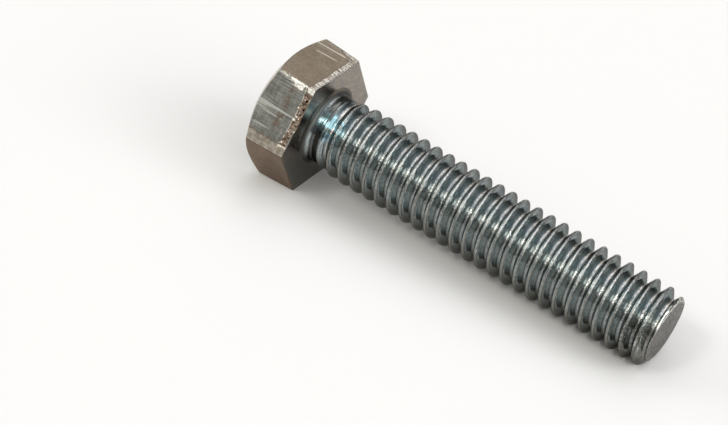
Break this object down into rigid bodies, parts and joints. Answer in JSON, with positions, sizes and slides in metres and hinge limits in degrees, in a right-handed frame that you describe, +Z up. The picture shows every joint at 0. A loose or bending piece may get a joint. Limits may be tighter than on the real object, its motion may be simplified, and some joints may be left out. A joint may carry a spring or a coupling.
{
  "type": "hex tap bolt",
  "caption": "Hexagon head bolt with a right-hand rolled thread over its whole length, a short filleted neck under the head and a chamfered point.",
  "frame": {"origin": "on the surface that the bolt lies on, under the middle of its length", "axes": "+Z up, +X along the bolt towards its point as seen from above, +Y across it. The bolt's own axis slopes down towards the point by 3.5 degrees, because it rests on a flat of the head and on the thread"},
  "size_m": [0.0432, 0.0144, 0.0126],
  "materials": {
    "zinc_plated_steel": "worn zinc plate, grey on the head and blue-grey on the thread"
  },
  "bodies": {
    "root": {"tap_bolt": "zinc_plated_steel"}
  },
  "joints": []
}
